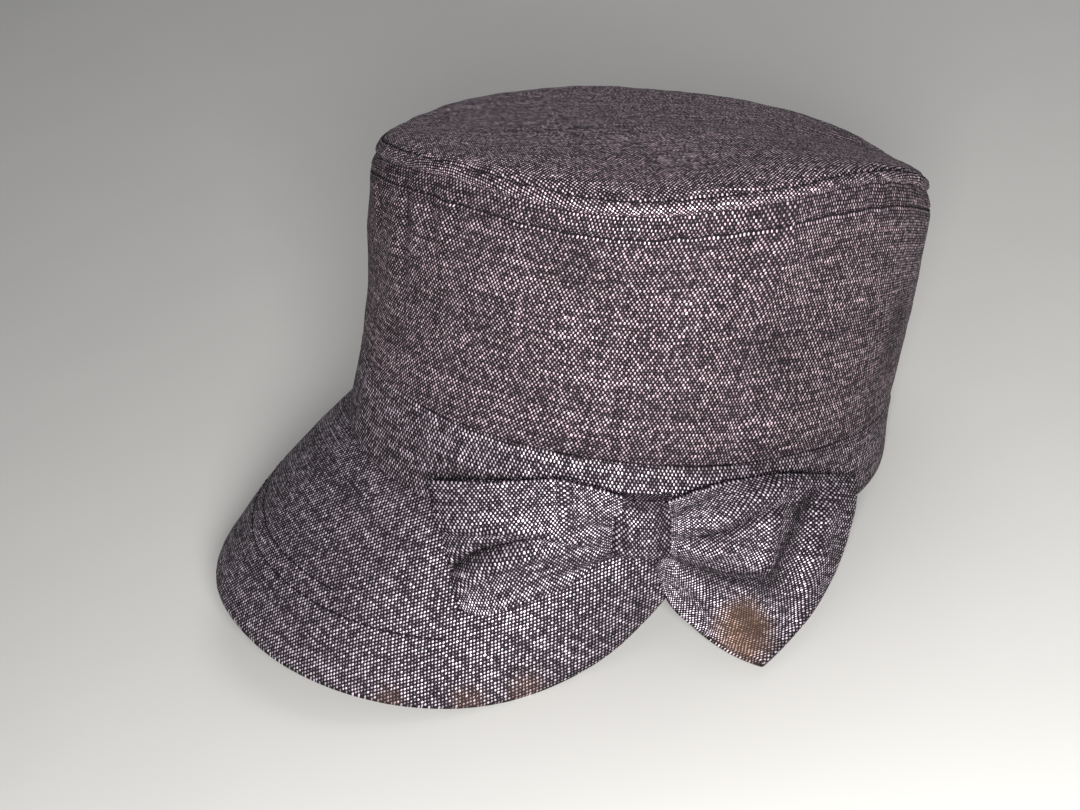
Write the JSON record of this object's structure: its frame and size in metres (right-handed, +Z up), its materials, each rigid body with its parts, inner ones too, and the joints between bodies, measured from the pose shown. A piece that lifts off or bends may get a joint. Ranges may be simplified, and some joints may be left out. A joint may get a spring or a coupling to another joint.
{
  "type": "cadet cap",
  "caption": "Cloth cadet cap with a tall crown, a flat top, a curved visor and a bow on one side, lying tipped back on its visor.",
  "frame": {"origin": "on the floor under the middle of the cap's bounding box, as it lies on its visor and the back of its band", "axes": "+Z up from the floor, -Y towards the front where the visor points, +X towards the wearer's left where the bow is sewn"},
  "size_m": [0.2032, 0.2676, 0.1639],
  "materials": {
    "linen": "matte"
  },
  "bodies": {
    "root": {"crown_top": "linen", "crown_side": "linen", "head_band": "linen", "visor": "linen", "bow_knot": "linen", "bow_front_loop": "linen", "bow_back_loop": "linen"}
  },
  "joints": []
}
